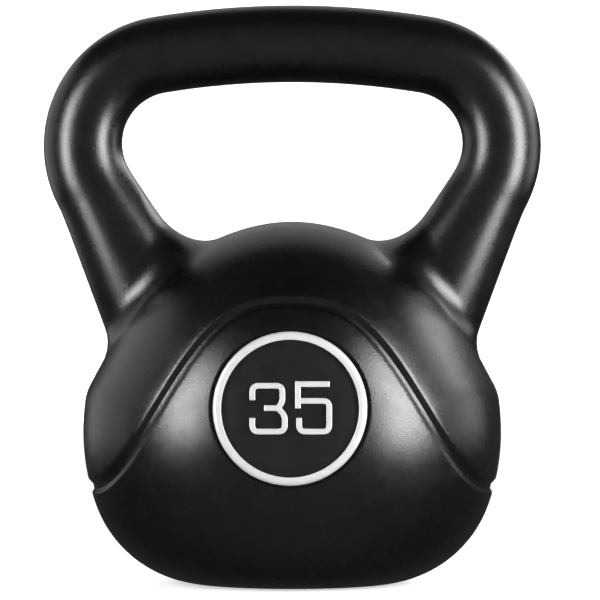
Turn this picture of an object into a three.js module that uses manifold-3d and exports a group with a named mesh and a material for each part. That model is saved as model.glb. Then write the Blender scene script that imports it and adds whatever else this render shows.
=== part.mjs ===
// Kettlebell, 35 lb: a blow-moulded plastic shell, hollow through body and handle, filled
// with one cast block of ballast, closed by a plug in the base, with a round badge let into
// the front and another into the back.
//
// Millimetres. +Z is up, +X runs along the handle, the front badge faces -Y.
// The origin is the centre of the flat base, on the floor.

import * as THREE from 'three';
import { mergeVertices } from 'three/addons/utils/BufferGeometryUtils.js';
import Module from 'manifold-3d';

const wasm = await Module();
wasm.setup();

// ---------------------------------------------------------------- driving dimensions

const HEIGHT = 300; // floor to the top of the grip

// Body: a ball, a little shallower than it is wide, flattened underneath.
const DEPTH_TO_WIDTH = 0.93;
const BASE_RADIUS = 44; // of the flat it stands on
// The outline of the body from the flat up, as arcs that run into each other. `to` is how far
// the surface leans where the arc ends: -90 faces the floor, 0 faces sideways, 90 faces up.
const BELLY_ARCS = [
  { radius: 61.5, to: -19.8 },
  { radius: 113.6, to: 0 },
];
// At the two sides the body has a shoulder and a slope down from the neck of the handle.
const SHOULDER_ARCS = [
  { radius: 120.5, to: 7.6 },
  { radius: 24, to: 28 },
  { radius: 1500, to: 29.4 },
];
const DOME_BLEND = 30; // distance from the axis within which the dome is round all about

// Handle: a tube on a symmetric centre line of crown arc, corner arcs and straight legs. It is
// round in the grip and the corners, and the legs widen towards the body.
const GRIP_RADIUS = 19.95;
const CROWN_ARC_RADIUS = 427;
const CROWN_HALF_ANGLE = 9.35; // degrees
const CORNER_ARC_RADIUS = 47.2;
const CORNER_SWELL = 0.9; // growth of the tube's radius round the corner
const LEG_LEAN = 28.35; // degrees from vertical, feet inwards
const LEG_TAPER = 0.143; // growth of the tube's radius per millimetre down the leg
const LEG_TAPER_START = 6; // length over which the taper comes in
const DEPTH_TAPER_SHARE = 0.3; // a leg's depth grows this much as fast as its width
const LEG_FOOT_Z = 105; // the legs end inside the body
const LEG_DRAFT = 15; // degrees of mould draft on the legs' inner faces
const LEG_DRAFT_START = 30; // length of leg over which the draft comes in
const DRAFT_EDGE = 2.5; // rounding between a drafted face and the tube

// Blend between handle and body: tight outside, wide in the hand opening.
const NECK_BLEND = 6.4;
const WEB_BLEND = 25.3;
const BLEND_GROWTH = 1.8; // how late the blend widens on the way round from outside to inside

// Groove: an arch on the front and on the back, which meet at the sides.
const GROOVE_TOP_Z = 146.5;
const GROOVE_SIDE_Z = 51.6;
const GROOVE_SIDE_X = 105;
const GROOVE_SHAPE = 1.39; // how flat the top of the arch is
const GROOVE_DEPTH = 1.8;
const GROOVE_WIDTH = 6;
const GROOVE_OVERRUN = 1.5; // degrees by which each half runs past the side
const GROOVE_STEPS = 32; // points that its line is traced through
const GROOVE_SEGMENTS = 48;
const GROOVE_FACETS = 8;

// Badge
const BADGE_Z = 92.9;
const BADGE_TILT = 5; // degrees, leaning back
const BADGE_EDGE_Y = 93.1; // where the pocket's edge lies at its two sides
const POCKET_RADIUS = 39.85;
const POCKET_DEPTH = 3.6;
const POCKET_REACH = 40; // height over its floor that a pocket clears
const PLATE_RADIUS = 38.1;
const PLATE_FACE_RADIUS = 34;
const RING_OUTER_RADIUS = 38.3;
const RING_INNER_RADIUS = 34.2;
const PLATE_FLANGE = 1.2; // thickness of the plate under the ring
const PLATE_THICKNESS = 1.9;
const RING_HEIGHT = 2;
const RING_SHOULDER = 1.9; // width of the ring's rounded outer shoulder
const RING_SHOULDER_DROP = 1.2;
const RING_CHAMFER = 0.5;
const FOAM_RADIUS = 35;
const FOAM_THICKNESS = 0.8;
const DIGIT_STROKE = 2.85;
const DIGIT_CORNER = 3.2;
const DIGIT_HEIGHT = 1.2;

// Shell, filling and plug
const WALL = 4;
const GAP = 0.3; // clearance between pieces that touch
const FILL_HOLE_RADIUS = 14;
const PLUG_RECESS_RADIUS = 20.5;
const PLUG_RECESS_DEPTH = 2.5;
const PLUG_CLEARANCE = 1; // round the plug's flange
const PLUG_INSET = 0.7; // height of the plug's face above the base
const PLUG_CHAMFER = 0.8;

const SHELL_CELL = 11; // edge length of the shell's facets
const INNER_CELL = 20; // and of the hidden surfaces
const INNER_NET_DEPTH = 4.8; // depth at which the hidden facets are laid out
const SKIN_HALF_X = 132; // half width, half depth and height that the facets cover
const SKIN_HALF_Y = 106;
const SKIN_TOP_Z = HEIGHT + 8;
const SKIN_START = 1.4; // cells below the floor at which the grid starts
const SETTLING_PASSES = 8; // moves that bring a corner onto the surface
const ROUTING_PASSES = 30; // and the groove's line
const MERGE_TOLERANCE = 1e-4;
const RAD = Math.PI / 180;

// ---------------------------------------------------------------- the shape of the body

// Follows a chain of tangent arcs from the rim of the flat base and closes it with a dome
// that is centred on the axis. Each arc keeps its centre, radius, first point and direction.
function outline(arcs) {
  const chain = [];
  let lean = -90 * RAD;
  let joint = { r: BASE_RADIUS, z: 0 };
  for (const { radius, to } of arcs) {
    const start = { r: Math.cos(lean), z: Math.sin(lean) };
    const centre = { r: joint.r - radius * start.r, z: joint.z - radius * start.z };
    chain.push({ centre, radius, joint, start });
    lean = to * RAD;
    joint = { r: centre.r + radius * Math.cos(lean), z: centre.z + radius * Math.sin(lean) };
  }
  const start = { r: Math.cos(lean), z: Math.sin(lean) };
  const radius = joint.r / start.r;
  chain.push({ centre: { r: 0, z: joint.z - radius * start.z }, radius, joint, start });
  return chain;
}

// Distance from the outline: the flat base, or the last arc whose first normal lies behind.
function outlineDistance(chain, r, z) {
  let distance = -z;
  for (const { centre, radius, joint, start } of chain) {
    if ((z - joint.z) * start.r - (r - joint.r) * start.z > 0) {
      distance = Math.hypot(r - centre.r, z - centre.z) - radius;
    }
  }
  return distance;
}

const frontOutline = outline(BELLY_ARCS);
const sideOutline = outline([...BELLY_ARCS, ...SHOULDER_ARCS]);

// Negative inside the body. The side outline holds at the ends of the handle and the front
// outline at front and back, and they blend with the direction round the axis.
function bodyDistance(x, y, z) {
  const deep = y / DEPTH_TO_WIDTH;
  const r = Math.hypot(x, deep);
  const offAxis = 1 - Math.exp(-((r / DOME_BLEND) ** 2));
  const sideShare = r > 0 ? offAxis * (x / r) ** 2 : 0;
  const side = outlineDistance(sideOutline, r, z);
  const front = outlineDistance(frontOutline, r, z);
  return sideShare * side + (1 - sideShare) * front;
}

// ---------------------------------------------------------------- the shape of the handle

const crownCentreZ = HEIGHT - GRIP_RADIUS - CROWN_ARC_RADIUS;
const cornerStart = CROWN_HALF_ANGLE * RAD;
const cornerEnd = (90 + LEG_LEAN) * RAD;
const cornerOffset = CROWN_ARC_RADIUS - CORNER_ARC_RADIUS;
const cornerCentre = {
  x: cornerOffset * Math.sin(cornerStart),
  z: crownCentreZ + cornerOffset * Math.cos(cornerStart),
};
const legTop = {
  x: cornerCentre.x + CORNER_ARC_RADIUS * Math.sin(cornerEnd),
  z: cornerCentre.z + CORNER_ARC_RADIUS * Math.cos(cornerEnd),
};
const legDown = { x: -Math.sin(LEG_LEAN * RAD), z: -Math.cos(LEG_LEAN * RAD) };

// Where a point lies along the handle: how far off the centre line in the handle's plane
// (positive towards the hand opening on a leg), and half the tube's width and depth there.
function alongHandle(x, z) {
  const right = Math.abs(x);
  if (z > cornerCentre.z && Math.atan2(right, z - crownCentreZ) < cornerStart) {
    const off = Math.hypot(right, z - crownCentreZ) - CROWN_ARC_RADIUS;
    return { off, radius: GRIP_RADIUS, depth: GRIP_RADIUS, down: 0, leg: false };
  }
  const dx = right - legTop.x;
  const dz = z - legTop.z;
  const down = dx * legDown.x + dz * legDown.z;
  if (down > 0) {
    const growth = LEG_TAPER * down * down / (down + LEG_TAPER_START);
    const off = dx * legDown.z - dz * legDown.x;
    const top = GRIP_RADIUS + CORNER_SWELL;
    return { off, radius: top + growth, depth: top + DEPTH_TAPER_SHARE * growth, down, leg: true };
  }
  const cx = right - cornerCentre.x;
  const cz = z - cornerCentre.z;
  const turned = (Math.atan2(cx, cz) - cornerStart) / (cornerEnd - cornerStart);
  const share = Math.min(Math.max(turned, 0), 1);
  const off = Math.hypot(cx, cz) - CORNER_ARC_RADIUS;
  const radius = GRIP_RADIUS + CORNER_SWELL * share * share;
  return { off, radius, depth: radius, down: 0, leg: false };
}

function smoothStep(low, high, value) {
  const t = Math.min(Math.max((value - low) / (high - low), 0), 1);
  return t * t * (3 - 2 * t);
}

// Joins two shapes with a round fillet, or keeps what they share with a rounded edge.
function filletedUnion(a, b, radius) {
  const inside = Math.hypot(Math.max(radius - a, 0), Math.max(radius - b, 0));
  return Math.max(radius, Math.min(a, b)) - inside;
}

function roundedIntersection(a, b, radius) {
  return -filletedUnion(-a, -b, radius);
}

// Negative inside the shell's outer surface, groove and pockets apart.
function kettlebellDistance(x, y, z) {
  const { off, radius, depth, down, leg } = alongHandle(x, z);
  let handle = Math.hypot(off, y * radius / depth) - radius;
  if (leg) {
    const share = smoothStep(0, LEG_DRAFT_START, down);
    const draft = LEG_DRAFT * RAD * share;
    const face = (off + Math.abs(y) * Math.tan(draft) - radius) * Math.cos(draft);
    handle = Math.max(roundedIntersection(handle, face, DRAFT_EDGE * share), LEG_FOOT_Z - z);
  }
  const inner = leg ? Math.min(Math.max((off / radius + 1) / 2, 0), 1) : 0;
  const blend = NECK_BLEND + (WEB_BLEND - NECK_BLEND) * inner ** BLEND_GROWTH;
  return filletedUnion(bodyDistance(x, y, z), handle, blend);
}

function gradient(field, p) {
  const h = 0.05;
  return new THREE.Vector3(
    field(p.x + h, p.y, p.z) - field(p.x - h, p.y, p.z),
    field(p.x, p.y + h, p.z) - field(p.x, p.y - h, p.z),
    field(p.x, p.y, p.z + h) - field(p.x, p.y, p.z - h),
  ).divideScalar(2 * h);
}

// Moves a point straight onto the surface that lies `depth` under the field's own surface.
function settle(field, p, depth) {
  for (let pass = 0; pass < SETTLING_PASSES; pass += 1) {
    const slope = gradient(field, p);
    const miss = field(p.x, p.y, p.z) + depth;
    p.addScaledVector(slope, -miss / Math.max(slope.lengthSq(), 0.25));
  }
  return p;
}

// Covers a field's surface with facets: one corner in every grid cell that the surface
// crosses, one four-sided facet across every grid edge that it crosses, and then the
// corners are settled onto the surface, or onto one that lies `depth` under it.
function facetedSkin(field, cell, netDepth, depth) {
  const reach = [2 * SKIN_HALF_X, 2 * SKIN_HALF_Y, SKIN_TOP_Z];
  const counts = reach.map((length) => 2 * Math.ceil(length / cell / 2) + 5);
  const low = [-counts[0] * cell / 2, -counts[1] * cell / 2, -SKIN_START * cell];
  const [nx, ny, nz] = counts.map((count) => count + 1);
  const at = (i, j, k) => (k * ny + j) * nx + i;
  const values = new Float64Array(nx * ny * nz);
  for (let k = 0; k < nz; k += 1) {
    for (let j = 0; j < ny; j += 1) {
      for (let i = 0; i < nx; i += 1) {
        const [x, y, z] = [low[0] + i * cell, low[1] + j * cell, low[2] + k * cell];
        values[at(i, j, k)] = field(x, y, z) + netDepth;
      }
    }
  }
  const corners = [];
  const cornerOf = new Map();
  for (let k = 0; k < nz - 1; k += 1) {
    for (let j = 0; j < ny - 1; j += 1) {
      for (let i = 0; i < nx - 1; i += 1) {
        const sum = new THREE.Vector3();
        let crossings = 0;
        for (let axis = 0; axis < 3; axis += 1) {
          for (let side = 0; side < 4; side += 1) {
            const a = [i, j, k];
            a[(axis + 1) % 3] += side & 1;
            a[(axis + 2) % 3] += side >> 1;
            const b = [...a];
            b[axis] += 1;
            const va = values[at(...a)];
            const vb = values[at(...b)];
            if ((va < 0) === (vb < 0)) continue;
            a[axis] += va / (va - vb);
            sum.add(new THREE.Vector3(...a));
            crossings += 1;
          }
        }
        if (crossings === 0) continue;
        cornerOf.set(at(i, j, k), corners.length);
        const corner = sum.divideScalar(crossings).multiplyScalar(cell).add(new THREE.Vector3(...low));
        corners.push(settle(field, corner, depth));
      }
    }
  }
  const triangles = [];
  for (let k = 1; k < nz - 1; k += 1) {
    for (let j = 1; j < ny - 1; j += 1) {
      for (let i = 1; i < nx - 1; i += 1) {
        for (let axis = 0; axis < 3; axis += 1) {
          const next = [i, j, k];
          next[axis] += 1;
          const here = values[at(i, j, k)] < 0;
          if (here === values[at(...next)] < 0) continue;
          const ring = [[0, 0], [1, 0], [1, 1], [0, 1]].map(([u, v]) => {
            const box = [i, j, k];
            box[(axis + 1) % 3] -= u;
            box[(axis + 2) % 3] -= v;
            return cornerOf.get(at(...box));
          });
          if (!here) ring.reverse();
          const [a, b, c, d] = ring;
          const short = corners[a].distanceTo(corners[c]) < corners[b].distanceTo(corners[d]);
          triangles.push(...(short ? [a, b, c, a, c, d] : [b, c, d, b, d, a]));
        }
      }
    }
  }
  const geometry = new THREE.BufferGeometry();
  const positions = corners.flatMap((p) => [p.x, p.y, Math.abs(p.z) < MERGE_TOLERANCE ? 0 : p.z]);
  geometry.setAttribute('position', new THREE.Float32BufferAttribute(positions, 3));
  geometry.setIndex(triangles);
  return geometry;
}

// ---------------------------------------------------------------- solids

function solid(geometry) {
  const bare = geometry.clone();
  bare.deleteAttribute('normal');
  bare.deleteAttribute('uv');
  const merged = mergeVertices(bare, MERGE_TOLERANCE);
  return new wasm.Manifold(new wasm.Mesh({
    numProp: 3,
    vertProperties: new Float32Array(merged.attributes.position.array),
    triVerts: new Uint32Array(merged.index.array),
  }));
}

function geometryOf(manifold) {
  const mesh = manifold.getMesh();
  const geometry = new THREE.BufferGeometry();
  geometry.setAttribute('position', new THREE.BufferAttribute(mesh.vertProperties, 3));
  geometry.setIndex(new THREE.BufferAttribute(mesh.triVerts, 1));
  return geometry;
}

// A round disc standing on the plane z = from, up to z = to.
function disc(radius, from, to, segments = 44) {
  const geometry = new THREE.CylinderGeometry(radius, radius, to - from, segments);
  geometry.rotateX(90 * RAD);
  geometry.translate(0, 0, (from + to) / 2);
  return geometry;
}

// A turned piece about the Z axis, from a closed outline of [radius, height] points.
function turned(points, segments = 36) {
  const profile = points.map(([r, z]) => new THREE.Vector2(r, z));
  const geometry = new THREE.LatheGeometry(profile, segments);
  geometry.rotateX(90 * RAD);
  return geometry;
}

// Puts something built on the plane z = 0, facing +Z, onto the floor of a badge pocket.
const BADGE_SIDES = { front: 0, rear: 180 * RAD };

function pocketFrame(side) {
  const turn = new THREE.Matrix4().makeRotationZ(BADGE_SIDES[side]);
  const place = new THREE.Matrix4().makeTranslation(0, POCKET_DEPTH - BADGE_EDGE_Y, BADGE_Z);
  const face = new THREE.Matrix4().makeRotationX((90 - BADGE_TILT) * RAD);
  return turn.multiply(place).multiply(face);
}

// The front half of the groove, as a rod along its line that sinks GROOVE_DEPTH into the
// body. It runs a little past both sides, where the rear half meets it.
function grooveCutter() {
  const sink = (GROOVE_WIDTH ** 2 / 4 + GROOVE_DEPTH ** 2) / (2 * GROOVE_DEPTH);
  const points = [];
  for (let step = 0; step <= GROOVE_STEPS; step += 1) {
    const turn = ((180 + 2 * GROOVE_OVERRUN) * step / GROOVE_STEPS - GROOVE_OVERRUN) * RAD;
    const across = new THREE.Vector2(-Math.cos(turn), -Math.sin(turn) * DEPTH_TO_WIDTH);
    let reach = GROOVE_SIDE_X;
    let z = GROOVE_SIDE_Z;
    for (let pass = 0; pass < ROUTING_PASSES; pass += 1) {
      z = grooveHeight(reach * across.x);
      reach -= bodyDistance(reach * across.x, reach * across.y, z);
    }
    const p = new THREE.Vector3(reach * across.x, reach * across.y, z);
    const outward = gradient(bodyDistance, p).normalize();
    points.push(p.addScaledVector(outward, sink - GROOVE_DEPTH));
  }
  const section = new THREE.Shape();
  section.absarc(0, 0, sink / Math.cos(Math.PI / GROOVE_FACETS), 0, 2 * Math.PI);
  return new THREE.ExtrudeGeometry(section, {
    curveSegments: GROOVE_FACETS,
    steps: GROOVE_SEGMENTS,
    extrudePath: new THREE.CatmullRomCurve3(points),
  });
}

function grooveHeight(x) {
  const share = Math.min(Math.abs(x) / GROOVE_SIDE_X, 1);
  const arch = Math.cos(90 * RAD * share ** GROOVE_SHAPE) ** 2;
  return GROOVE_SIDE_Z + (GROOVE_TOP_Z - GROOVE_SIDE_Z) * arch;
}

// A pocket in the skin and the wall behind it: everything `margin` round the pocket.
function pocketClearance(side, margin) {
  const block = disc(POCKET_RADIUS + margin, -margin, POCKET_REACH);
  return solid(block.applyMatrix4(pocketFrame(side)));
}

// A coarser skin that lies `depth` under the outer surface.
function inside(depth) {
  return facetedSkin(kettlebellDistance, INNER_CELL, INNER_NET_DEPTH, depth);
}

function makeShell() {
  const outer = facetedSkin(kettlebellDistance, SHELL_CELL, 0, 0);
  let shell = solid(outer);
  let hollow = solid(inside(WALL));
  const frontGroove = grooveCutter();
  const rearGroove = frontGroove.clone().rotateZ(180 * RAD);
  for (const groove of [frontGroove, rearGroove]) {
    shell = shell.subtract(solid(groove));
  }
  for (const side of Object.keys(BADGE_SIDES)) {
    shell = shell.subtract(pocketClearance(side, 0));
    hollow = hollow.subtract(pocketClearance(side, WALL));
  }
  const bossTop = PLUG_RECESS_DEPTH + WALL;
  hollow = hollow.subtract(solid(disc(PLUG_RECESS_RADIUS + WALL, -1, bossTop)));
  return shell
    .subtract(hollow)
    .subtract(solid(disc(PLUG_RECESS_RADIUS, -1, PLUG_RECESS_DEPTH)))
    .subtract(solid(disc(FILL_HOLE_RADIUS, PLUG_RECESS_DEPTH - 1, bossTop + 1)));
}

function makeBallast() {
  let ballast = solid(inside(WALL + 2 * GAP));
  for (const side of Object.keys(BADGE_SIDES)) {
    ballast = ballast.subtract(pocketClearance(side, WALL + GAP));
  }
  const bossTop = PLUG_RECESS_DEPTH + WALL + GAP;
  return ballast.subtract(solid(disc(PLUG_RECESS_RADIUS + WALL + GAP, -1, bossTop)));
}

// Flange in the recess, and a barrel through the wall.
function makePlug() {
  const flange = PLUG_RECESS_RADIUS - PLUG_CLEARANCE;
  const flangeTop = PLUG_RECESS_DEPTH - GAP;
  const barrel = FILL_HOLE_RADIUS - GAP;
  const end = PLUG_RECESS_DEPTH + WALL - GAP;
  return turned([
    [0, PLUG_INSET],
    [flange - PLUG_CHAMFER, PLUG_INSET],
    [flange, PLUG_INSET + PLUG_CHAMFER],
    [flange, flangeTop],
    [barrel, flangeTop],
    [barrel, end - PLUG_CHAMFER],
    [barrel - PLUG_CHAMFER, end],
    [0, end],
  ]);
}

// ---------------------------------------------------------------- badge pieces

const foamTop = GAP + FOAM_THICKNESS;
const plateLow = foamTop + GAP / 2;
const flangeTop = plateLow + PLATE_FLANGE;
const plateFace = plateLow + PLATE_THICKNESS;
const ringLow = flangeTop + GAP / 2;

function makeFoam() {
  return disc(FOAM_RADIUS, GAP, foamTop, 24);
}

function makePlate() {
  return turned([
    [0, plateLow],
    [PLATE_RADIUS, plateLow],
    [PLATE_RADIUS, flangeTop],
    [PLATE_FACE_RADIUS, flangeTop],
    [PLATE_FACE_RADIUS, plateFace],
    [0, plateFace],
  ]);
}

function makeRing() {
  const top = ringLow + RING_HEIGHT;
  const halfway = Math.SQRT1_2;
  return turned([
    [RING_INNER_RADIUS, ringLow],
    [RING_OUTER_RADIUS, ringLow],
    [RING_OUTER_RADIUS, top - RING_SHOULDER_DROP],
    [RING_OUTER_RADIUS - RING_SHOULDER * (1 - halfway), top - RING_SHOULDER_DROP * (1 - halfway)],
    [RING_OUTER_RADIUS - RING_SHOULDER, top],
    [RING_INNER_RADIUS + RING_CHAMFER, top],
    [RING_INNER_RADIUS, top - RING_CHAMFER],
    [RING_INNER_RADIUS, ringLow],
  ]);
}

// Centre lines of the digits' strokes, in the plane of the badge. Two strokes that cross at
// their ends make a square corner, and a bend in one stroke a rounded one.
const DIGITS = {
  3: [
    [[-18.7, 4.1], [-18.7, 11.3], [-3.8, 11.3], [-3.8, 3.2], [-6, 0.2]],
    [[-6, 0.2], [-2.6, -3.4], [-2.6, -11.4], [-18.7, -11.4], [-18.7, -4.6]],
    [[-12.9, 0.2], [-5.4, 0.2]],
  ],
  5: [
    [[19.6, 12.1], [2.475, 12.1]],
    [[3.9, 13.525], [3.9, 0]],
    [[3.9, 3.8], [19.4, 3.8], [19.4, -11.4], [4.5, -11.4], [4.5, -4.6]],
  ],
};

// A line through the points with its corners rounded.
function roundedLine(points) {
  const line = points.map(([x, y]) => new THREE.Vector2(x, y));
  const path = new THREE.Path();
  path.moveTo(line[0].x, line[0].y);
  for (let i = 1; i < line.length - 1; i += 1) {
    const before = line[i - 1].clone().sub(line[i]);
    const after = line[i + 1].clone().sub(line[i]);
    const cut = Math.min(DIGIT_CORNER, before.length() / 2, after.length() / 2);
    const into = line[i].clone().addScaledVector(before.normalize(), cut);
    const out = line[i].clone().addScaledVector(after.normalize(), cut);
    path.lineTo(into.x, into.y);
    path.quadraticCurveTo(line[i].x, line[i].y, out.x, out.y);
  }
  const last = line[line.length - 1];
  path.lineTo(last.x, last.y);
  return path.getPoints(3);
}

// The solid of one stroke: its line, half a stroke to either side.
function stroke(points) {
  const line = roundedLine(points);
  const left = [];
  const right = [];
  line.forEach((p, i) => {
    const ahead = line[Math.min(i + 1, line.length - 1)];
    const behind = line[Math.max(i - 1, 0)];
    const along = ahead.clone().sub(behind).normalize();
    const aside = new THREE.Vector2(-along.y, along.x).multiplyScalar(DIGIT_STROKE / 2);
    left.push(p.clone().add(aside));
    right.unshift(p.clone().sub(aside));
  });
  const shape = new THREE.Shape([...left, ...right]);
  return new THREE.ExtrudeGeometry(shape, { depth: DIGIT_HEIGHT, bevelEnabled: false });
}

function makeDigit(digit) {
  const [first, ...others] = DIGITS[digit].map((points) => solid(stroke(points)));
  const joined = others.reduce((whole, part) => whole.add(part), first);
  return geometryOf(joined).translate(0, 0, plateFace + GAP / 2);
}

// ---------------------------------------------------------------- assembly

const SHELL_BLACK = new THREE.MeshStandardMaterial({ color: 0x141415, roughness: 0.42, metalness: 0 });
const BALLAST_GREY = new THREE.MeshStandardMaterial({ color: 0x77736c, roughness: 0.95, metalness: 0 });
const PLUG_BLACK = new THREE.MeshStandardMaterial({ color: 0x18181a, roughness: 0.6, metalness: 0 });
const FOAM_WHITE = new THREE.MeshStandardMaterial({ color: 0xd8d6cf, roughness: 1, metalness: 0 });
const PLATE_BLACK = new THREE.MeshStandardMaterial({ color: 0x0d0d0e, roughness: 0.35, metalness: 0 });
const SILVER = new THREE.MeshStandardMaterial({ color: 0xdedfe0, roughness: 0.35, metalness: 0.4 });

const kettlebell = new THREE.Group();

function add(name, geometry, material, parent = kettlebell) {
  const mesh = new THREE.Mesh(geometry, material.clone());
  mesh.name = name;
  parent.add(mesh);
}

add('shell', geometryOf(makeShell()), SHELL_BLACK);
add('ballast_core', geometryOf(makeBallast()), BALLAST_GREY);
add('fill_plug', makePlug(), PLUG_BLACK);

for (const side of Object.keys(BADGE_SIDES)) {
  const badge = new THREE.Group();
  pocketFrame(side).decompose(badge.position, badge.quaternion, badge.scale);
  kettlebell.add(badge);
  add(`${side}_badge_foam`, makeFoam(), FOAM_WHITE, badge);
  add(`${side}_badge_plate`, makePlate(), PLATE_BLACK, badge);
  add(`${side}_badge_ring`, makeRing(), SILVER, badge);
  add(`${side}_digit_3`, makeDigit(3), SILVER, badge);
  add(`${side}_digit_5`, makeDigit(5), SILVER, badge);
}

export default kettlebell;
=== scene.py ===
"""Kettlebell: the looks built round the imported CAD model.

The shell's surface is worked out from the same dimensions as the CAD part, but finely: a smooth
ball and handle, a groove with a flat floor, and badge pockets with rounded edges. The shapes are
worked out in millimetres, and mesh_object makes metres of them.
"""

import math

import bpy
import numpy as np
from mathutils import Matrix, Vector


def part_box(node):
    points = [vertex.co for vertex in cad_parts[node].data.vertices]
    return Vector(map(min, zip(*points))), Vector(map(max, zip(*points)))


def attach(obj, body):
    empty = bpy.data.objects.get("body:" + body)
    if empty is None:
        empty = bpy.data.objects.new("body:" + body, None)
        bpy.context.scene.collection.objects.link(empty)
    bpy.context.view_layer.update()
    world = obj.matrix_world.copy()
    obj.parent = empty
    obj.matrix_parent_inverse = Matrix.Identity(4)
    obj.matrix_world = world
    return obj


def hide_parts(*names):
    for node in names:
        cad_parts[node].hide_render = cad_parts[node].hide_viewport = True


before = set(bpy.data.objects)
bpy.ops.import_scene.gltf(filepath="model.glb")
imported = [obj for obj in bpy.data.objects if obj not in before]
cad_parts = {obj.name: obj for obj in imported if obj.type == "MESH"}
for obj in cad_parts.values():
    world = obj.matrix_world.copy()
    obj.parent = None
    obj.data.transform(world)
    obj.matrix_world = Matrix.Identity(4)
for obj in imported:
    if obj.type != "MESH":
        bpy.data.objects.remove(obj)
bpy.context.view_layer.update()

MM = 0.001

# ------------------------------------------------------------------ driving dimensions, mm

HEIGHT = 300.0

# Body: each arc of its outline has a radius, and how far the surface leans where the arc ends.
DEPTH_TO_WIDTH = 0.93
BASE_RADIUS = 44.0
BELLY_ARCS = [(61.5, -19.8), (113.6, 0.0)]
SHOULDER_ARCS = [(120.5, 7.6), (24.0, 28.0), (1500.0, 29.4)]
DOME_BLEND = 30.0

# Handle
GRIP_RADIUS = 19.95
CROWN_ARC_RADIUS = 427.0
CROWN_HALF_ANGLE = math.radians(9.35)
CORNER_ARC_RADIUS = 47.2
CORNER_SWELL = 0.9
LEG_LEAN = math.radians(28.35)
LEG_TAPER = 0.143
LEG_TAPER_START = 6.0
DEPTH_TAPER_SHARE = 0.3
LEG_FOOT_Z = 105.0
LEG_DRAFT = math.radians(15.0)
LEG_DRAFT_START = 30.0
DRAFT_EDGE = 2.5

# Fillet between handle and body: tight outside, wide in the hand opening
NECK_BLEND = 6.4
WEB_BLEND = 25.3
BLEND_GROWTH = 1.8

# Groove: an arch, and its section as heights above (+) or below (-) its line with the depth
# there. It has a long upper wall, a flat floor and a short lower wall.
GROOVE_TOP_Z = 146.5
GROOVE_SIDE_Z = 51.6
GROOVE_SIDE_X = 105.0
GROOVE_SHAPE = 1.39
GROOVE_DEPTH = 1.8
GROOVE_SECTION = [
    (-5.2, 0.0), (-4.4, 0.1), (-3.7, 0.5), (-2.9, 1.6), (-2.4, GROOVE_DEPTH),
    (0.0, GROOVE_DEPTH), (3.0, 0.12), (4.6, 0.0),
]
GROOVE_SAMPLES = 721
GROOVE_SOFTENING = 51  # samples over which its corners are rounded

# Pockets, wall and plug
BADGE_Z = 92.9
BADGE_TILT = math.radians(5.0)
BADGE_EDGE_Y = 93.1
POCKET_RADIUS = 39.85
POCKET_DEPTH = 3.6
POCKET_REACH = 20.0  # height over its floor that a pocket's cutter clears
LIP = 0.7  # width of the rounded edge of a pocket
LIP_RADIUS = 0.9
LIP_OVERRUN = 0.5
WALL = 4.0
GAP = 0.3  # clearance between pieces that touch
FILL_HOLE_RADIUS = 14.0
PLUG_RECESS_RADIUS = 20.5
PLUG_RECESS_DEPTH = 2.5
RECESS_EDGE = 0.6  # bevel of the recess at the base
BOSS_TOP = PLUG_RECESS_DEPTH + WALL
PLUG_BARREL_CHAMFER = 1.0
# The plug's face and rounded rim, as radii and heights over the base
PLUG_RIM = [(0, 0.7), (17.6, 0.7), (18.3, 0.85), (19.0, 1.3), (19.4, 1.7), (19.5, 2.0)]

# Badge: heights are over the pocket's floor
PLATE_LOW = 1.25
PLATE_FLANGE = 2.45
PLATE_FACE = 3.15
PLATE_RADIUS = 38.1
PLATE_FACE_RADIUS = 34.0
PLATE_EDGE = 0.2
PLATE_EDGE_MIDDLE = 0.3 * PLATE_EDGE
RING_LOW = 2.6
RING_TOP = 4.6
RING_OUTER_RADIUS = 38.3
RING_INNER_RADIUS = 34.2
RING_SHOULDER_START = 35.7
RING_SHOULDER_DROP = 1.6
SHOULDER_STEPS = 8
BEVEL_STEPS = 4
RING_BEVEL = 0.35
RING_INNER_FOOT = 0.1  # small bevels where the ring stands on the plate
RING_OUTER_FOOT = 0.2
DIGIT_LOW = 3.3
DIGIT_HEIGHT = 1.2
DIGIT_STROKE = 2.85
DIGIT_CORNER = 3.2
DIGIT_BEVEL = 0.32
BEND_POINTS = 9
# Centre lines of the strokes. Two that cross at their ends make a square corner, and a bend in
# one makes a rounded corner.
DIGITS = {
    "3": [
        [(-18.7, 4.1), (-18.7, 11.3), (-3.8, 11.3), (-3.8, 3.2), (-6, 0.2)],
        [(-6, 0.2), (-2.6, -3.4), (-2.6, -11.4), (-18.7, -11.4), (-18.7, -4.6)],
        [(-12.9, 0.2), (-5.4, 0.2)],
    ],
    "5": [
        [(19.6, 12.1), (2.475, 12.1)],
        [(3.9, 13.525), (3.9, 0)],
        [(3.9, 3.8), (19.4, 3.8), (19.4, -11.4), (4.5, -11.4), (4.5, -4.6)],
    ],
}

# Facets: the longest edges in each region, and the grids that they start from
REACH = ((-136.0, -110.0, -9.0), (136.0, 110.0, 309.0))
OUTER_CELL = 4.0
INNER_CELL = 7.0
HOLLOW_NET_DEPTH = WALL * 1.2  # depth at which the hollow's facets are laid out
SPLITTING_ROUNDS = 5
SETTLING_PASSES = 6
SPLIT_SETTLING_PASSES = 4
DIGIT_SETTLING_PASSES = 3
HANDLE_FROM_Z = 150.0
HANDLE_EDGE = 3.0
BODY_EDGE = 4.4
GROOVE_REACH = 4.8
GROOVE_EDGE = 0.78
FRINGE_REACH = 9.0
FRINGE_EDGE = 2.2
RIM_EDGE = 0.42
RIM_BAND = 0.55
RIM_GRADING = 1.2
DIGIT_CELL = 0.3
DIGIT_MARGIN = 1.0  # how far the digits' grid reaches round them, below and above
DIGIT_MARGIN_BELOW = 0.65
DIGIT_MARGIN_ABOVE = 0.75
TURNED_SEGMENTS = 192
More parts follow.
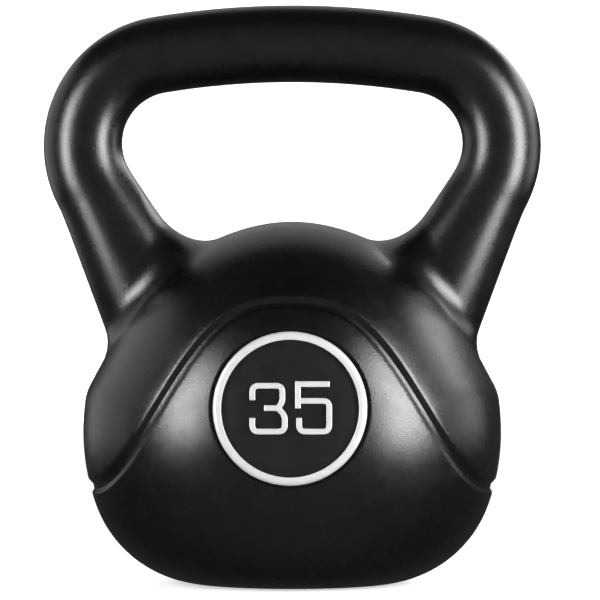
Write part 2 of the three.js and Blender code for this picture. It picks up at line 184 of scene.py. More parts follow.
HIDDEN_SEGMENTS = 96
PLUG_SEGMENTS = 128
RIM_SEGMENTS = 256

FAR = 99.0  # stands for any distance too great to matter
NEAR_GROOVE = 30.0  # height difference within which the groove is looked for
NEAR_POCKET = 12.0  # and a pocket
FINE_STEP = 0.02  # steps over which a slope is measured
COARSE_STEP = 0.2
PRESSING_STEP = 0.1
FLATTEST_FIELD = 0.25  # limits for dividing by a slope, or its square, that may be nearly 0
FLATTEST_HEIGHT = 0.15
LEAST_PRESSING = 1e-4
TINY = 1e-6


# ------------------------------------------------------------------ the shape of the shell

def outline(arcs):
    """The half outline of the body as tangent arcs, closed by a dome centred on the axis."""
    chain = []
    lean = -math.pi / 2
    r, z = BASE_RADIUS, 0.0
    for radius, end in arcs:
        nr, nz = math.cos(lean), math.sin(lean)
        cr, cz = r - radius * nr, z - radius * nz
        chain.append((cr, cz, radius, r, z, nr, nz))
        lean = math.radians(end)
        r, z = cr + radius * math.cos(lean), cz + radius * math.sin(lean)
    nr, nz = math.cos(lean), math.sin(lean)
    radius = r / nr
    chain.append((0.0, z - radius * nz, radius, r, z, nr, nz))
    return chain


FRONT_OUTLINE = outline(BELLY_ARCS)
SIDE_OUTLINE = outline(BELLY_ARCS + SHOULDER_ARCS)


def outline_distance(chain, r, z):
    """Distance from an outline: from the flat base, or the last arc that starts behind."""
    distance = -z
    for cr, cz, radius, jr, jz, nr, nz in chain:
        beyond = (z - jz) * nr - (r - jr) * nz > 0
        distance = np.where(beyond, np.hypot(r - cr, z - cz) - radius, distance)
    return distance


def body_distance(p):
    """Distance from the ball, whose outline changes from its sides to its front and back."""
    x, y, z = p[:, 0], p[:, 1], p[:, 2]
    r = np.maximum(np.hypot(x, y / DEPTH_TO_WIDTH), TINY)
    side_share = (x / r) ** 2 * (1 - np.exp(-((r / DOME_BLEND) ** 2)))
    side = outline_distance(SIDE_OUTLINE, r, z)
    front = outline_distance(FRONT_OUTLINE, r, z)
    return side_share * side + (1 - side_share) * front


def smooth_step(low, high, value):
    t = np.clip((value - low) / (high - low), 0, 1)
    return t * t * (3 - 2 * t)


def filleted_union(a, b, radius):
    inside = np.hypot(np.maximum(radius - a, 0), np.maximum(radius - b, 0))
    return np.maximum(radius, np.minimum(a, b)) - inside


def rounded_intersection(a, b, radius):
    return -filleted_union(-a, -b, radius)


CROWN_CENTRE_Z = HEIGHT - GRIP_RADIUS - CROWN_ARC_RADIUS
CORNER_END = math.pi / 2 + LEG_LEAN
CORNER_X = (CROWN_ARC_RADIUS - CORNER_ARC_RADIUS) * math.sin(CROWN_HALF_ANGLE)
CORNER_Z = CROWN_CENTRE_Z + (CROWN_ARC_RADIUS - CORNER_ARC_RADIUS) * math.cos(CROWN_HALF_ANGLE)
LEG_X = CORNER_X + CORNER_ARC_RADIUS * math.sin(CORNER_END)
LEG_Z = CORNER_Z + CORNER_ARC_RADIUS * math.cos(CORNER_END)


def smooth_kettlebell(p):
    """Distance from the surface of ball and handle, without groove or pockets."""
    x, y, z = np.abs(p[:, 0]), p[:, 1], p[:, 2]
    in_crown = (z > CORNER_Z) & (np.arctan2(x, z - CROWN_CENTRE_Z) < CROWN_HALF_ANGLE)
    crown_off = np.hypot(x, z - CROWN_CENTRE_Z) - CROWN_ARC_RADIUS
    dx, dz = x - LEG_X, z - LEG_Z
    down = -dx * math.sin(LEG_LEAN) - dz * math.cos(LEG_LEAN)
    leg_off = -dx * math.cos(LEG_LEAN) + dz * math.sin(LEG_LEAN)
    in_leg = ~in_crown & (down > 0)
    down = np.maximum(down, 0)
    cx, cz = x - CORNER_X, z - CORNER_Z
    corner_off = np.hypot(cx, cz) - CORNER_ARC_RADIUS
    turned = (np.arctan2(cx, cz) - CROWN_HALF_ANGLE) / (CORNER_END - CROWN_HALF_ANGLE)
    swell = CORNER_SWELL * np.where(in_crown, 0, np.clip(turned, 0, 1)) ** 2
    swell = np.where(in_leg, CORNER_SWELL, swell)
    growth = np.where(in_leg, LEG_TAPER * down * down / (down + LEG_TAPER_START), 0)
    radius = GRIP_RADIUS + swell + growth
    off = np.where(in_crown, crown_off, np.where(in_leg, leg_off, corner_off))
    depth = radius - growth * (1 - DEPTH_TAPER_SHARE)
    tube = np.hypot(off, y * radius / depth) - radius
    draft = LEG_DRAFT * smooth_step(0, LEG_DRAFT_START, down)
    face = (off + np.abs(y) * np.tan(draft) - radius) * np.cos(draft)
    edge = DRAFT_EDGE * smooth_step(0, LEG_DRAFT_START, down)
    leg = np.maximum(rounded_intersection(tube, face, edge), LEG_FOOT_Z - z)
    handle = np.where(in_leg, leg, tube)
    inner = np.where(in_leg, np.clip((off / radius + 1) / 2, 0, 1), 0)
    blend = NECK_BLEND + (WEB_BLEND - NECK_BLEND) * inner ** BLEND_GROWTH
    return filleted_union(body_distance(p), handle, blend)


def gradient(field, p, h=FINE_STEP):
    slope = np.empty_like(p)
    for axis in range(3):
        step = np.zeros(3)
        step[axis] = h
        slope[:, axis] = (field(p + step) - field(p - step)) / (2 * h)
    return slope


def settle(field, p, depth=0.0, passes=SETTLING_PASSES):
    """Moves points onto the surface that lies `depth` under the field's own surface."""
    for _ in range(passes):
        slope = gradient(field, p)
        miss = field(p) + depth
        p = p - slope * (miss / np.maximum((slope ** 2).sum(1), FLATTEST_FIELD))[:, None]
    return p


def groove_line(x):
    share = np.minimum(np.abs(x) / GROOVE_SIDE_X, 1)
    arch = np.cos(math.pi / 2 * share ** GROOVE_SHAPE) ** 2
    return GROOVE_SIDE_Z + (GROOVE_TOP_Z - GROOVE_SIDE_Z) * arch


def groove_offset(p):
    """Distance over the surface from the groove's line, positive above it."""
    def height(q):
        return q[:, 2] - groove_line(q[:, 0])
    above = height(p)
    slope = gradient(height, p, COARSE_STEP)
    normal = gradient(smooth_kettlebell, p, COARSE_STEP)
    normal /= np.maximum(np.linalg.norm(normal, axis=1), TINY)[:, None]
    slope -= normal * (slope * normal).sum(1)[:, None]
    return above / np.maximum(np.linalg.norm(slope, axis=1), FLATTEST_HEIGHT)


def near_groove(p):
    """The same distance, worked out only for points that may be near."""
    near = np.abs(p[:, 2] - groove_line(p[:, 0])) < NEAR_GROOVE
    offset = np.full(len(p), FAR)
    offset[near] = groove_offset(p[near])
    return offset


def groove_depth(offset):
    at = [s for s, _ in GROOVE_SECTION]
    deep = [d for _, d in GROOVE_SECTION]
    fine = np.linspace(at[0] - 1, at[-1] + 1, GROOVE_SAMPLES)
    depth = np.interp(fine, at, deep)
    kernel = np.hanning(GROOVE_SOFTENING)
    depth = np.convolve(depth, kernel / kernel.sum(), mode="same")
    return np.interp(offset, fine, depth)


# ------------------------------------------------------------------ meshes from fields

def skin(field, low, high, cell, net_depth=0.0):
    """Faces round a field's surface: a corner in every crossed cell, a face over every
    crossed grid edge. Returns corners and four-sided faces."""
    low, high = np.array(low, float), np.array(high, float)
    counts = np.ceil((high - low) / cell).astype(int) + 1
    grid = [low[a] + cell * np.arange(counts[a]) for a in range(3)]
    points = np.stack(np.meshgrid(*grid, indexing="ij"), -1).reshape(-1, 3)
    values = (field(points) + net_depth).reshape(counts)
    inside = values < 0
    cells = tuple(counts - 1)
    total = np.zeros(cells + (3,))
    hits = np.zeros(cells)
    for axis in range(3):
        u, v = (axis + 1) % 3, (axis + 2) % 3
        for du in (0, 1):
            for dv in (0, 1):
                start = [slice(0, cells[a]) for a in range(3)]
                start[u] = slice(du, du + cells[u])
                start[v] = slice(dv, dv + cells[v])
                end = list(start)
                end[axis] = slice(1, 1 + cells[axis])
                a, b = values[tuple(start)], values[tuple(end)]
                crossed = (a < 0) != (b < 0)
                share = np.where(crossed, a / np.where(crossed, a - b, 1), 0)
                hits += crossed
                total[..., axis] += share
                total[..., u] += crossed * du
                total[..., v] += crossed * dv
    used = hits > 0
    index = np.full(cells, -1)
    index[used] = np.arange(used.sum())
    base = np.argwhere(used)
    corners = low + cell * (base + total[used] / hits[used][:, None])
    faces = []
    for axis in range(3):
        u, v = (axis + 1) % 3, (axis + 2) % 3
        a = [slice(1, cells[d]) for d in range(3)]
        a[axis] = slice(0, cells[axis])
        b = list(a)
        b[axis] = slice(1, cells[axis] + 1)
        spots = np.argwhere(inside[tuple(a)] != inside[tuple(b)])
        offset = np.ones(3, int)
        offset[axis] = 0
        spots += offset
        flip = inside[tuple(spots.T)]
        ring = []
        for du, dv in ((0, 0), (1, 0), (1, 1), (0, 1)):
            at = spots.copy()
            at[:, u] -= du
            at[:, v] -= dv
            ring.append(index[tuple(at.T)])
        quad = np.stack(ring, 1)
        faces.append(np.where(flip[:, None], quad, quad[:, ::-1]))
    return corners, np.concatenate(faces)


def refine(corners, triangles, target):
    """Splits every edge that is longer than wanted, and so each triangle into up to four."""
    edges = np.stack([triangles, np.roll(triangles, -1, axis=1)], -1).reshape(-1, 2)
    edges.sort(axis=1)
    unique, which = np.unique(edges, axis=0, return_inverse=True)
    which = which.reshape(-1, 3)
    middles = corners[unique].mean(1)
    lengths = np.linalg.norm(corners[unique[:, 0]] - corners[unique[:, 1]], axis=1)
    split = lengths > target(middles)
    number = np.full(len(unique), -1)
    number[split] = len(corners) + np.arange(split.sum())
    corners = np.concatenate([corners, middles[split]])
    mid = number[which]
    cut_edges = mid >= 0
    made = [triangles[~cut_edges.any(1)]]
    for k in range(3):
        turn = [k, (k + 1) % 3, (k + 2) % 3]
        a, b, c = triangles[:, turn].T
        ab, bc, _ = mid[:, turn].T
        pattern = cut_edges[:, turn]
        one = pattern[:, 0] & ~pattern[:, 1] & ~pattern[:, 2]
        made.append(np.stack([a, ab, c], 1)[one])
        made.append(np.stack([ab, b, c], 1)[one])
        two = pattern[:, 0] & pattern[:, 1] & ~pattern[:, 2]
        made.append(np.stack([ab, b, bc], 1)[two])
        made.append(np.stack([a, ab, bc], 1)[two])
        made.append(np.stack([a, bc, c], 1)[two])
    full = cut_edges.all(1)
    a, b, c = triangles[full].T
    ab, bc, ca = mid[full].T
    for three in ((a, ab, ca), (ab, b, bc), (ca, bc, c), (ab, bc, ca)):
        made.append(np.stack(three, 1))
    return corners, np.concatenate(made)


def to_triangles(corners, quads):
    """Cuts each four-sided face along its shorter diagonal."""
    a, b, c, d = quads.T
    ac = np.linalg.norm(corners[a] - corners[c], axis=1)
    bd = np.linalg.norm(corners[b] - corners[d], axis=1)
    short = (ac < bd)[:, None]
    first = np.where(short, np.stack([a, b, c], 1), np.stack([b, c, d], 1))
    second = np.where(short, np.stack([a, c, d], 1), np.stack([b, d, a], 1))
    return np.concatenate([first, second])


def settled_mesh(field, cell, target=None, rounds=0, net_depth=0.0, depth=0.0):
    """A closed triangle mesh on a field's surface, refined where target asks for it."""
    corners, quads = skin(field, *REACH, cell, net_depth)
    corners = settle(field, corners, depth)
    triangles = to_triangles(corners, quads)
    for _ in range(rounds):
        before = len(corners)
        corners, triangles = refine(corners, triangles, target)
        corners[before:] = settle(field, corners[before:], depth, SPLIT_SETTLING_PASSES)
    return corners, triangles


def mesh_object(name, corners, faces):
    """A mesh object in metres from corners in millimetres."""
    mesh = bpy.data.meshes.new(name)
    mesh.vertices.add(len(corners))
    mesh.vertices.foreach_set("co", (np.asarray(corners) * MM).astype(np.float32).ravel())
    sizes = np.array([len(f) for f in faces])
    indices = np.concatenate([np.asarray(f) for f in faces]).astype(np.int32)
    mesh.loops.add(int(sizes.sum()))
    mesh.loops.foreach_set("vertex_index", indices)
    mesh.polygons.add(len(sizes))
    mesh.polygons.foreach_set("loop_start", (np.cumsum(sizes) - sizes).astype(np.int32))
    mesh.update(calc_edges=True)
    mesh.validate()
    thing = bpy.data.objects.new(name, mesh)
    bpy.context.scene.collection.objects.link(thing)
    return thing


def lathe(name, profile, segments=TURNED_SEGMENTS):
    """A closed solid turned about Z from [radius, height] points, bottom to top."""
    corners, faces = [], []
    rings = []
    for r, z in profile:
        if r < TINY:
            rings.append([len(corners)])
            corners.append((0, 0, z))
            continue
        rings.append(list(range(len(corners), len(corners) + segments)))
        for i in range(segments):
            turn = 2 * math.pi * i / segments
            corners.append((r * math.cos(turn), r * math.sin(turn), z))
    closed = len(rings[0]) > 1
    pairs = list(zip(rings, rings[1:])) + ([(rings[-1], rings[0])] if closed else [])
    for low, high in pairs:
        for i in range(segments):
            j = (i + 1) % segments
            if len(low) == 1:
                faces.append((low[0], high[j], high[i]))
            elif len(high) == 1:
                faces.append((low[i], low[j], high[0]))
            else:
                faces.append((low[i], low[j], high[j], high[i]))
    return mesh_object(name, corners, faces)


def disc(name, radius, low, high, segments):
    return lathe(name, [(0, low), (radius, low), (radius, high), (0, high)], segments)


def cut(thing, tool):
    """Takes the tool away from the thing. The tool is used up."""
    change = thing.modifiers.new("cut", "BOOLEAN")
    change.object = tool
    change.operation = "DIFFERENCE"
    change.solver = "MANIFOLD"
    depsgraph = bpy.context.evaluated_depsgraph_get()
    mesh = bpy.data.meshes.new_from_object(thing.evaluated_get(depsgraph))
    thing.modifiers.clear()
    old = thing.data
    thing.data = mesh
    bpy.data.meshes.remove(old)
    bpy.data.meshes.remove(tool.data)


def smooth(thing, sharp_degrees):
    thing.data.shade_smooth()
    thing.data.set_sharp_from_angle(angle=math.radians(sharp_degrees))


# ------------------------------------------------------------------ the badge pockets

SIDES = {"front": 0.0, "rear": math.pi}


def pocket_matrix(side):
    """From a badge's own axes, Z outwards from the pocket's floor, to the kettlebell's."""
    turn = Matrix.Rotation(SIDES[side], 4, "Z")
    place = Matrix.Translation((0, POCKET_DEPTH - BADGE_EDGE_Y, BADGE_Z))
    face = Matrix.Rotation(math.pi / 2 - BADGE_TILT, 4, "X")
    return turn @ place @ face


def to_pocket(thing, side):
    matrix = pocket_matrix(side)
    matrix.translation *= MM
    thing.data.transform(matrix)


def pocket_edge_distance(p, side):
    """Distance outwards from a pocket's edge, or a large number away from it."""
    matrix = np.array(pocket_matrix(side))
    local = (p - matrix[:3, 3]) @ matrix[:3, :3]
    off = np.hypot(local[:, 0], local[:, 1]) - POCKET_RADIUS
    return np.where(np.abs(local[:, 2]) < NEAR_POCKET, off, FAR)


def lip_depth(off):
    """How far the skin drops towards a pocket: in an arc, and straight on past the edge."""
    run = np.clip(LIP - off, 0, LIP + LIP_OVERRUN)
    arc = np.minimum(run, LIP)
    slope = LIP / math.sqrt(LIP_RADIUS ** 2 - LIP ** 2)
    return LIP_RADIUS - np.sqrt(LIP_RADIUS ** 2 - arc ** 2) + (run - arc) * slope


# ------------------------------------------------------------------ the shell

def wanted_edge(middles):
    """How long an edge may be there: short in the groove and at the pockets' edges."""
    edge = np.where(middles[:, 2] > HANDLE_FROM_Z, HANDLE_EDGE, BODY_EDGE)
    offset = np.abs(near_groove(middles))
    edge = np.where(offset < FRINGE_REACH, np.minimum(edge, FRINGE_EDGE), edge)
    edge = np.where(offset < GROOVE_REACH, GROOVE_EDGE, edge)
    for side in SIDES:
        off_rim = np.abs(pocket_edge_distance(middles, side) - LIP / 2) - RIM_BAND
        edge = np.minimum(edge, RIM_EDGE + RIM_GRADING * np.maximum(off_rim, 0))
    return edge


def make_skin():
    """The outer surface, with the groove and the pockets' rounded edges pressed into it."""
    corners, triangles = settled_mesh(smooth_kettlebell, OUTER_CELL, wanted_edge, SPLITTING_ROUNDS)
    deep = groove_depth(near_groove(corners))
    for side in SIDES:
        deep += lip_depth(pocket_edge_distance(corners, side))
    sunk = deep > LEAST_PRESSING
    normal = gradient(smooth_kettlebell, corners[sunk], PRESSING_STEP)
    normal /= np.linalg.norm(normal, axis=1)[:, None]
    corners[sunk] -= normal * deep[sunk][:, None]
    return mesh_object("shell_skin", corners, triangles)


def make_hollow():
    """The inside, which stays a wall's thickness clear of the pockets and the recess."""
    corners, triangles = settled_mesh(
        smooth_kettlebell, INNER_CELL, net_depth=HOLLOW_NET_DEPTH, depth=WALL)
    hollow = mesh_object("hollow", corners, triangles)
    for side in SIDES:
        block = disc("clearance", POCKET_RADIUS + WALL, -WALL, 2 * POCKET_REACH, HIDDEN_SEGMENTS)
        to_pocket(block, side)
        cut(hollow, block)
    cut(hollow, disc("boss", PLUG_RECESS_RADIUS + WALL, -2, BOSS_TOP, HIDDEN_SEGMENTS))
    return hollow


def make_shell():
    shell = make_skin()
    cut(shell, make_hollow())
    for side in SIDES:
        pocket = disc("pocket", POCKET_RADIUS, 0, POCKET_REACH, RIM_SEGMENTS)
        to_pocket(pocket, side)
        cut(shell, pocket)
    cut(shell, lathe("recess", [
        (0, -3), (PLUG_RECESS_RADIUS + 2, -3),
        (PLUG_RECESS_RADIUS + RECESS_EDGE, 0), (PLUG_RECESS_RADIUS, RECESS_EDGE),
        (PLUG_RECESS_RADIUS, PLUG_RECESS_DEPTH), (FILL_HOLE_RADIUS, PLUG_RECESS_DEPTH),
        (FILL_HOLE_RADIUS, BOSS_TOP + 1), (0, BOSS_TOP + 1)], HIDDEN_SEGMENTS))
    fit_inside(shell, "shell")
    smooth(shell, 35)
    return shell


def fit_inside(thing, node):
    """Scales a piece by a hair so that its box is that of its CAD node."""
    low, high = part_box(node)
    co = np.empty(len(thing.data.vertices) * 3, np.float32)
    thing.data.vertices.foreach_get("co", co)
    co = co.reshape(-1, 3).astype(float)
    for axis in range(3):
        a, b = co[:, axis].min(), co[:, axis].max()
        co[:, axis] = low[axis] + (co[:, axis] - a) * (high[axis] - low[axis]) / (b - a)
    thing.data.vertices.foreach_set("co", co.astype(np.float32).ravel())
    thing.data.update()


# ------------------------------------------------------------------ plug and badges

def make_plug():
    """A flange with a rounded rim, and a barrel that fills the hole."""
    flange_top = PLUG_RECESS_DEPTH - GAP
    barrel = FILL_HOLE_RADIUS - GAP
    end = BOSS_TOP - GAP
    plug = lathe("fill_plug_skin", PLUG_RIM + [
        (PLUG_RIM[-1][0], flange_top), (barrel, flange_top), (barrel, end - PLUG_BARREL_CHAMFER),
        (barrel - PLUG_BARREL_CHAMFER, end), (0, end)], PLUG_SEGMENTS)
    smooth(plug, 40)
    return plug


def make_plate(side):
    """A flange that the ring lies on, and a raised face inside it."""
    plate = lathe(f"{side}_badge_plate_skin", [
        (0, PLATE_LOW), (PLATE_RADIUS - PLATE_EDGE, PLATE_LOW),
        (PLATE_RADIUS, PLATE_LOW + PLATE_EDGE), (PLATE_RADIUS, PLATE_FLANGE - PLATE_EDGE),
        (PLATE_RADIUS - PLATE_EDGE, PLATE_FLANGE), (PLATE_FACE_RADIUS, PLATE_FLANGE),
        (PLATE_FACE_RADIUS, PLATE_FACE - PLATE_EDGE),
        (PLATE_FACE_RADIUS - PLATE_EDGE_MIDDLE, PLATE_FACE - PLATE_EDGE_MIDDLE),
        (PLATE_FACE_RADIUS - PLATE_EDGE, PLATE_FACE),
        (PLATE_FACE_RADIUS / 2, PLATE_FACE), (0, PLATE_FACE)])
    smooth(plate, 50)
    return plate


def quarter_turn(steps):
    return [math.pi / 2 * step / steps for step in range(steps + 1)]


def make_ring(side):
    """A flat band with a wide round shoulder outside and a small bevel inside."""
    shoulder_width = RING_OUTER_RADIUS - RING_SHOULDER_START
    shoulder = [(RING_SHOULDER_START + shoulder_width * math.cos(turn),
                 RING_TOP - RING_SHOULDER_DROP + RING_SHOULDER_DROP * math.sin(turn))
                for turn in quarter_turn(SHOULDER_STEPS)]
    bevel = [(RING_INNER_RADIUS + RING_BEVEL * (1 - math.sin(turn)),
              RING_TOP - RING_BEVEL + RING_BEVEL * math.cos(turn))
             for turn in quarter_turn(BEVEL_STEPS)]
    foot = [(RING_INNER_RADIUS, RING_LOW + RING_INNER_FOOT),
            (RING_INNER_RADIUS + RING_INNER_FOOT, RING_LOW),
            (RING_OUTER_RADIUS - RING_OUTER_FOOT, RING_LOW),
            (RING_OUTER_RADIUS, RING_LOW + RING_OUTER_FOOT)]
    ring = lathe(f"{side}_badge_ring_skin", foot[1:] + shoulder + bevel + foot[:1], RIM_SEGMENTS)
    smooth(ring, 50)
    return ring


def rounded_line(points):
    """The points of a line, with a curve in place of each of its bends."""
    points = [np.array(p, float) for p in points]
    line = [points[0]]
    for i in range(1, len(points) - 1):
        before, after = points[i - 1] - points[i], points[i + 1] - points[i]
        reach = min(DIGIT_CORNER, np.hypot(*before) / 2, np.hypot(*after) / 2)
        into = points[i] + before / np.hypot(*before) * reach
        out = points[i] + after / np.hypot(*after) * reach
        for t in np.linspace(0, 1, BEND_POINTS):
            line.append((1 - t) ** 2 * into + 2 * t * (1 - t) * points[i] + t * t * out)
    return line + [points[-1]]


def stroke_outline(points):
    """The closed outline of a stroke of even width along a line."""
    line = rounded_line(points)
    left, right = [], []
    for i, p in enumerate(line):
        along = line[min(i + 1, len(line) - 1)] - line[max(i - 1, 0)]
        along /= np.hypot(*along)
        mitre = 1.0
        if 0 < i < len(line) - 1:
            step = line[i + 1] - p
            mitre = 1 / max(abs(float(step @ along)) / np.hypot(*step), 0.5)
        aside = np.array([-along[1], along[0]]) * DIGIT_STROKE / 2 * mitre
        left.append(p + aside)
        right.append(p - aside)
    return np.array(left + right[::-1])


def polygon_distance(q, polygon):
    """Signed distance in the plane from a closed outline, negative inside."""
    best = np.full(len(q), np.inf)
    inside = np.zeros(len(q), bool)
    for a, b in zip(polygon, np.roll(polygon, -1, axis=0)):
        edge = b - a
        t = np.clip(((q - a) @ edge) / max(edge @ edge, 1e-12), 0, 1)
        best = np.minimum(best, ((q - a - t[:, None] * edge) ** 2).sum(1))
        crosses = (a[1] > q[:, 1]) != (b[1] > q[:, 1])
        at = a[0] + (q[:, 1] - a[1]) * edge[0] / (edge[1] if abs(edge[1]) > 1e-12 else 1e-12)
        inside ^= crosses & (q[:, 0] < at)
    return np.where(inside, -1, 1) * np.sqrt(best)


def make_digit(side, digit):
    """A digit as one solid, with a bevel round the front of its strokes."""
    outlines = [stroke_outline(points) for points in DIGITS[digit]]

    def field(p):
        flat = np.min([polygon_distance(p[:, :2], o) for o in outlines], axis=0)
        middle = DIGIT_LOW + DIGIT_HEIGHT / 2
        thick = np.abs(p[:, 2] - middle) - DIGIT_HEIGHT / 2
        bevel = (flat + (p[:, 2] - DIGIT_LOW - DIGIT_HEIGHT) + DIGIT_BEVEL) * math.sqrt(0.5)
        return np.maximum(np.maximum(flat, thick), bevel)

    every = np.concatenate(outlines)
    low = (*(every.min(0) - DIGIT_MARGIN), DIGIT_LOW - DIGIT_MARGIN_BELOW)
    high = (*(every.max(0) + DIGIT_MARGIN), DIGIT_LOW + DIGIT_HEIGHT + DIGIT_MARGIN_ABOVE)
    corners, quads = skin(field, low, high, DIGIT_CELL)
    corners = settle(field, corners, passes=DIGIT_SETTLING_PASSES)
    piece = mesh_object(f"{side}_digit_{digit}_skin", corners, to_triangles(corners, quads))
    smooth(piece, 30)
    return piece


# ------------------------------------------------------------------ materials

def material(name):
    """A new material, its shader and the place in it in millimetres."""
    m = bpy.data.materials.new(name)
    m.use_nodes = True
    nodes = m.node_tree.nodes
    coordinates = nodes.new("ShaderNodeTexCoord")
    scale = nodes.new("ShaderNodeVectorMath")
    scale.operation = "SCALE"
    scale.inputs["Scale"].default_value = 1 / MM
    m.node_tree.links.new(coordinates.outputs["Object"], scale.inputs[0])
    return m, nodes["Principled BSDF"], scale.outputs["Vector"]


def noise(m, where, grain_mm, detail=2.0, roughness=0.5):
    node = m.node_tree.nodes.new("ShaderNodeTexNoise")
    node.inputs["Scale"].default_value = 1 / grain_mm
    node.inputs["Detail"].default_value = detail
    node.inputs["Roughness"].default_value = roughness
    m.node_tree.links.new(where, node.inputs["Vector"])
    return node.outputs["Fac"]


def pebbles(m, where, size_mm):
    node = m.node_tree.nodes.new("ShaderNodeTexVoronoi")
    node.feature = "SMOOTH_F1"
    node.inputs["Scale"].default_value = 1 / size_mm
    node.inputs["Smoothness"].default_value = 0.6
    m.node_tree.links.new(where, node.inputs["Vector"])
    return node.outputs["Distance"]


def spread(m, value, low, high):
    """Stretches a noise, which stays mostly between 0.3 and 0.7, from low to high."""
    node = m.node_tree.nodes.new("ShaderNodeMapRange")
    node.inputs["From Min"].default_value = 0.3
    node.inputs["From Max"].default_value = 0.7
    node.inputs["To Min"].default_value = low
    node.inputs["To Max"].default_value = high
    m.node_tree.links.new(value, node.inputs["Value"])
    return node.outputs["Result"]


def bump(m, height, distance_mm, strength, normal=None):
    node = m.node_tree.nodes.new("ShaderNodeBump")
    node.inputs["Distance"].default_value = distance_mm * MM
    node.inputs["Strength"].default_value = strength
    m.node_tree.links.new(height, node.inputs["Height"])
    if normal is not None:
        m.node_tree.links.new(normal, node.inputs["Normal"])
    return node.outputs["Normal"]


def tint(m, value, dark, light):
    node = m.node_tree.nodes.new("ShaderNodeMix")
    node.data_type = "RGBA"
    node.inputs["A"].default_value = (*dark, 1)
    node.inputs["B"].default_value = (*light, 1)
    m.node_tree.links.new(value, node.inputs["Factor"])
    return node.outputs["Result"]


def finish_look(m, shader, relief, roughness, colour):
    link = m.node_tree.links.new
    link(relief, shader.inputs["Normal"])
    link(roughness, shader.inputs["Roughness"])
    link(colour, shader.inputs["Base Color"])
    return m


def shell_material():
    m, shader, where = material("shell_plastic_look")
    grain = bump(m, pebbles(m, where, 0.6), 0.08, 0.7)
    fine = bump(m, noise(m, where, 0.5, 2.0), 0.04, 0.6, grain)
    waves = bump(m, noise(m, where, 22.0, 1.0), 0.4, 0.10, fine)
    roughness = spread(m, noise(m, where, 9.0, 4.0), 0.24, 0.30)
    colour = tint(m, spread(m, noise(m, where, 30.0, 3.0), 0, 1),
                  (0.0008, 0.0008, 0.0009), (0.0016, 0.0016, 0.0017))
    shader.inputs["Specular IOR Level"].default_value = 0.5
    return finish_look(m, shader, waves, roughness, colour)


def plug_material():
    m, shader, where = material("plug_plastic_look")
    relief = bump(m, noise(m, where, 0.5, 3.0), 0.06, 0.6)
    roughness = spread(m, noise(m, where, 5.0, 4.0), 0.45, 0.62)
    colour = tint(m, spread(m, noise(m, where, 8.0), 0, 1),
                  (0.0075, 0.0075, 0.0078), (0.012, 0.012, 0.012))
    return finish_look(m, shader, relief, roughness, colour)


def ballast_material():
    m, shader, where = material("ballast_look")
    relief = bump(m, noise(m, where, 3.0, 6.0, 0.7), 0.8, 0.8)
    roughness = spread(m, noise(m, where, 2.0, 4.0), 0.85, 1.0)
    colour = tint(m, spread(m, noise(m, where, 6.0, 5.0), 0, 1),
                  (0.12, 0.115, 0.10), (0.26, 0.25, 0.23))
    return finish_look(m, shader, relief, roughness, colour)


def foam_material():
    m, shader, where = material("foam_look")
    relief = bump(m, noise(m, where, 0.4, 3.0), 0.15, 0.8)
    roughness = spread(m, noise(m, where, 1.0, 3.0), 0.88, 1.0)
    colour = tint(m, spread(m, noise(m, where, 3.0), 0, 1),
                  (0.60, 0.58, 0.53), (0.72, 0.70, 0.66))
    return finish_look(m, shader, relief, roughness, colour)


def plate_material():
    m, shader, where = material("badge_black_look")
    relief = bump(m, noise(m, where, 0.18, 3.0), 0.012, 0.5)
    roughness = spread(m, noise(m, where, 6.0, 4.0), 0.27, 0.34)
    colour = tint(m, spread(m, noise(m, where, 12.0), 0, 1),
                  (0.0032, 0.0032, 0.0034), (0.0048, 0.0048, 0.005))
    return finish_look(m, shader, relief, roughness, colour)


def silver_material():
    m, shader, where = material("badge_silver_look")
    relief = bump(m, noise(m, where, 0.12, 2.0), 0.008, 0.5)
    roughness = spread(m, noise(m, where, 4.0, 4.0), 0.34, 0.44)
    colour = tint(m, spread(m, noise(m, where, 5.0), 0, 1),
                  (0.46, 0.46, 0.47), (0.50, 0.50, 0.51))
    shader.inputs["Metallic"].default_value = 0.3
    return finish_look(m, shader, relief, roughness, colour)


# ------------------------------------------------------------------ the pieces in their places

def wear(thing, look):
    thing.data.materials.clear()
    thing.data.materials.append(look)


def stand_for(piece, node, look):
    wear(piece, look)
    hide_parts(node)
    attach(piece, "root")


stand_for(make_shell(), "shell", shell_material())
stand_for(make_plug(), "fill_plug", plug_material())
wear(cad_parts["ballast_core"], ballast_material())

black = plate_material()
silver = silver_material()
foam = foam_material()
for side in SIDES:
    for piece, node, look, slot in (
        (make_plate(side), "badge_plate", black, "badge_black"),
        (make_ring(side), "badge_ring", silver, "badge_silver"),
        (make_digit(side, "3"), "digit_3", silver, "badge_silver"),
        (make_digit(side, "5"), "digit_5", silver, "badge_silver"),
    ):
        to_pocket(piece, side)
        stand_for(piece, f"{side}_{node}", look)
    wear(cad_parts[f"{side}_badge_foam"], foam)

# ------------------------------------------------------------------ floor, light, camera, in metres

FLOOR_HALF = 3.0
BACKDROP_Y = 2.6
BACKDROP_HALF = 2.8
BACKDROP_HEIGHT = 3.8
STAGE_WHITE = 0.85


def plain(name, roughness, glow):
    """Near-white, with a glow that keeps it pale where little light falls."""
    m, shader, where = material(name)
    colour = tint(m, noise(m, where, 40.0), [STAGE_WHITE * 0.99] * 3, [STAGE_WHITE] * 3)
    m.node_tree.links.new(colour, shader.inputs["Base Color"])
    shader.inputs["Roughness"].default_value = roughness
    shader.inputs["Specular IOR Level"].default_value = 0.1
    shader.inputs["Emission Color"].default_value = (1, 1, 1, 1)
    shader.inputs["Emission Strength"].default_value = glow
    return m


def stage_plane(name, corners, look):
    plane = mesh_object(name, np.array(corners, float) / MM, [(0, 1, 2, 3)])
    plane.data.materials.append(look)
    plane.visible_glossy = False


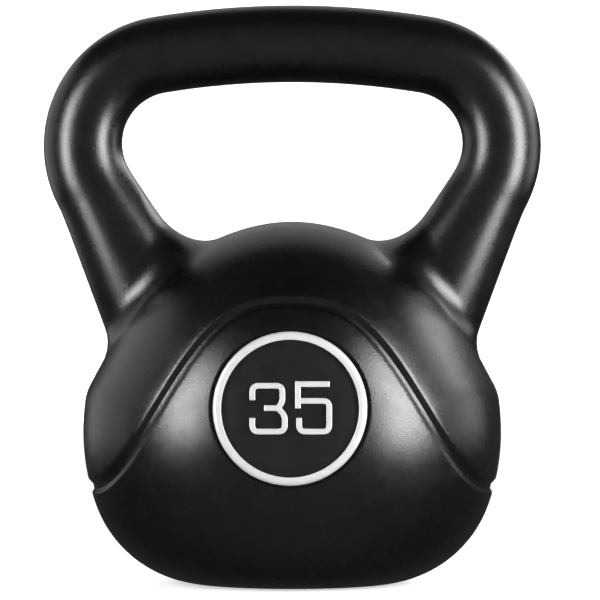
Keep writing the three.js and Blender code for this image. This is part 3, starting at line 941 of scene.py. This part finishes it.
stage_plane("floor", [(x, y, 0) for x, y in (
    (-FLOOR_HALF, -FLOOR_HALF), (FLOOR_HALF, -FLOOR_HALF),
    (FLOOR_HALF, FLOOR_HALF), (-FLOOR_HALF, FLOOR_HALF))], plain("floor_look", 0.9, 0.55))
stage_plane("backdrop", [(x, BACKDROP_Y, z) for x, z in (
    (-BACKDROP_HALF, 0), (BACKDROP_HALF, 0),
    (BACKDROP_HALF, BACKDROP_HEIGHT), (-BACKDROP_HALF, BACKDROP_HEIGHT))],
    plain("backdrop_look", 1.0, 1.0))


def softbox(name, azimuth, distance, low, high, width, radiance):
    """An upright soft light between two heights. Azimuth 0 is in front, 90 to the right."""
    light = bpy.data.lights.new(name, "AREA")
    light.shape = "RECTANGLE"
    light.size, light.size_y = width, high - low
    light.energy = radiance * math.pi * width * (high - low)
    lamp = bpy.data.objects.new(name, light)
    a = math.radians(azimuth)
    towards = Vector((math.sin(a), -math.cos(a), 0))
    lamp.location = towards * distance + Vector((0, 0, (low + high) / 2))
    lamp.rotation_euler = towards.to_track_quat("Z", "Y").to_euler()
    lamp.visible_camera = False
    bpy.context.scene.collection.objects.link(lamp)


softbox("left_box", -55, 0.70, 0.06, 0.52, 0.24, 17)
softbox("right_box", 58, 0.70, 0.03, 0.58, 0.30, 20)
softbox("left_card", -115, 0.8, 0.0, 0.75, 0.75, 0.8)
softbox("right_card", 104, 0.8, 0.05, 0.70, 0.40, 2.0)
softbox("back_right_card", 132, 0.8, 0.42, 0.72, 0.80, 2.8)
softbox("back_card", 180, 1.0, 0.40, 1.7, 1.5, 0.45)


def studio_world():
    """A dim surround that is brighter towards the front and below."""
    world = bpy.data.worlds.new("studio")
    world.use_nodes = True
    nodes, link = world.node_tree.nodes, world.node_tree.links.new
    direction = nodes.new("ShaderNodeTexCoord")
    facing = nodes.new("ShaderNodeVectorMath")
    facing.operation = "DOT_PRODUCT"
    facing.inputs[1].default_value = (0, -0.9, -0.35)
    level = nodes.new("ShaderNodeMapRange")
    level.inputs["From Min"].default_value = 0.0
    level.inputs["From Max"].default_value = 0.95
    level.inputs["To Min"].default_value = 0.05
    level.inputs["To Max"].default_value = 0.26
    link(direction.outputs["Generated"], facing.inputs[0])
    link(facing.outputs["Value"], level.inputs["Value"])
    link(level.outputs["Result"], nodes["Background"].inputs["Strength"])
    nodes["Background"].inputs["Color"].default_value = (1, 1, 1, 1)
    return world


bpy.context.scene.world = studio_world()
bpy.context.scene.view_settings.view_transform = "Standard"

CAMERA_DISTANCE = 2.0
CAMERA_CLIP_END = 20
CAMERA_AZIMUTH = math.radians(0.55)
AIM = Vector((0.00405, 0, 0.147))
WIDTH_SHOWN = 0.3117
SENSOR_WIDTH = 36

camera_data = bpy.data.cameras.new("camera")
camera_data.sensor_width = SENSOR_WIDTH
camera_data.lens = SENSOR_WIDTH * CAMERA_DISTANCE / WIDTH_SHOWN
camera_data.clip_end = CAMERA_CLIP_END
camera = bpy.data.objects.new("camera", camera_data)
back = Vector((math.sin(CAMERA_AZIMUTH), -math.cos(CAMERA_AZIMUTH), 0))
camera.location = AIM + back * CAMERA_DISTANCE
camera.rotation_euler = back.to_track_quat("Z", "Y").to_euler()
bpy.context.scene.collection.objects.link(camera)
bpy.context.scene.camera = camera
